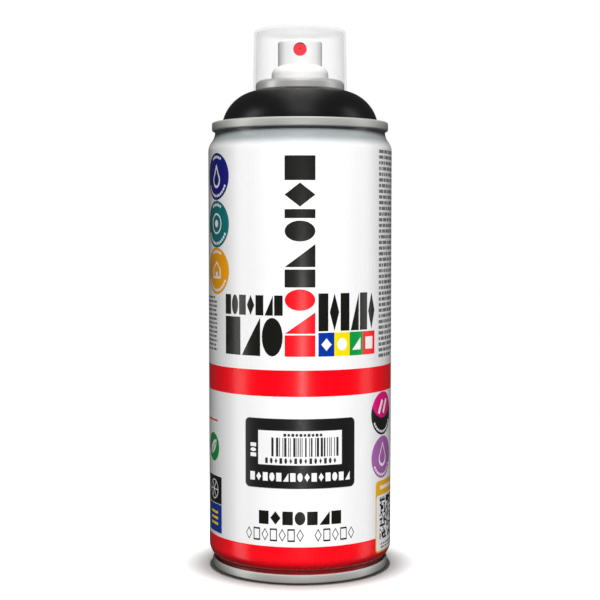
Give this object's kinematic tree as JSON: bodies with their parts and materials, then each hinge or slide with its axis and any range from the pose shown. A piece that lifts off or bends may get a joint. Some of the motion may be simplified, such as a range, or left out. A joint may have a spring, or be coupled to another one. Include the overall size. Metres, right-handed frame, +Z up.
{
  "type": "aerosol spray can",
  "caption": "Paint aerosol can: necked steel body with seamed dome and base, one-inch valve with dip tube, push button with nozzle insert, colour ring and clear overcap.",
  "frame": {"origin": "centre of the plane the can stands on, on the can's axis", "axes": "+Z up along the can's axis, -Y forwards: the nozzle and the printed front face -Y, +X to the right seen from behind"},
  "size_m": [0.065, 0.0651, 0.1901],
  "materials": {
    "white_lacquer": "gloss",
    "tinplate": "satin",
    "spring_steel": "satin",
    "ball_steel": "polished",
    "sealing_compound": "matte",
    "black_rubber": "matte",
    "natural_plastic": "satin",
    "white_plastic": "satin",
    "tube_plastic": "satin",
    "red_plastic": "satin",
    "black_plastic": "satin",
    "clear_plastic": "satin",
    "label_film": "satin"
  },
  "bodies": {
    "can": {"can_body": "white_lacquer", "dome": "tinplate", "bottom_end": "tinplate", "top_seam_compound": "sealing_compound", "bottom_seam_compound": "sealing_compound", "mounting_cup": "tinplate", "cup_gasket": "sealing_compound", "valve_housing": "natural_plastic", "stem_gasket": "black_rubber", "valve_spring": "spring_steel", "dip_tube": "tube_plastic", "colour_ring": "black_plastic", "colour_label": "label_film"},
    "stem": {"valve_stem": "white_plastic"},
    "button": {"actuator_button": "white_plastic", "nozzle_insert": "red_plastic"},
    "cap": {"overcap": "clear_plastic"},
    "ball_1": {"mixing_ball_1": "ball_steel"},
    "ball_2": {"mixing_ball_2": "ball_steel"}
  },
  "joints": [
    {"name": "overcap_lift", "type": "slide", "parent": "can", "child": "cap", "axis": [0, 0, 1], "range_m": [0, 0.03]},
    {"name": "valve_press", "type": "slide", "parent": "can", "child": "stem", "axis": [0, 0, -1], "range_m": [0, 0.0013], "stiffness_N_per_m": 3000, "springref_m": -0.0025, "deforming": ["valve_spring"]},
    {"name": "button_turn", "type": "hinge", "parent": "stem", "child": "button", "pos_m": [0, 0, 0.1775], "axis": [0, 0, 1], "continuous": true},
    {"name": "ball_1_shake", "type": "slide", "parent": "can", "child": "ball_1", "axis": [0, 0, 1], "range_m": [0, 0.139]},
    {"name": "ball_2_shake", "type": "slide", "parent": "can", "child": "ball_2", "axis": [0, 0, 1], "range_m": [0, 0.139]}
  ]
}
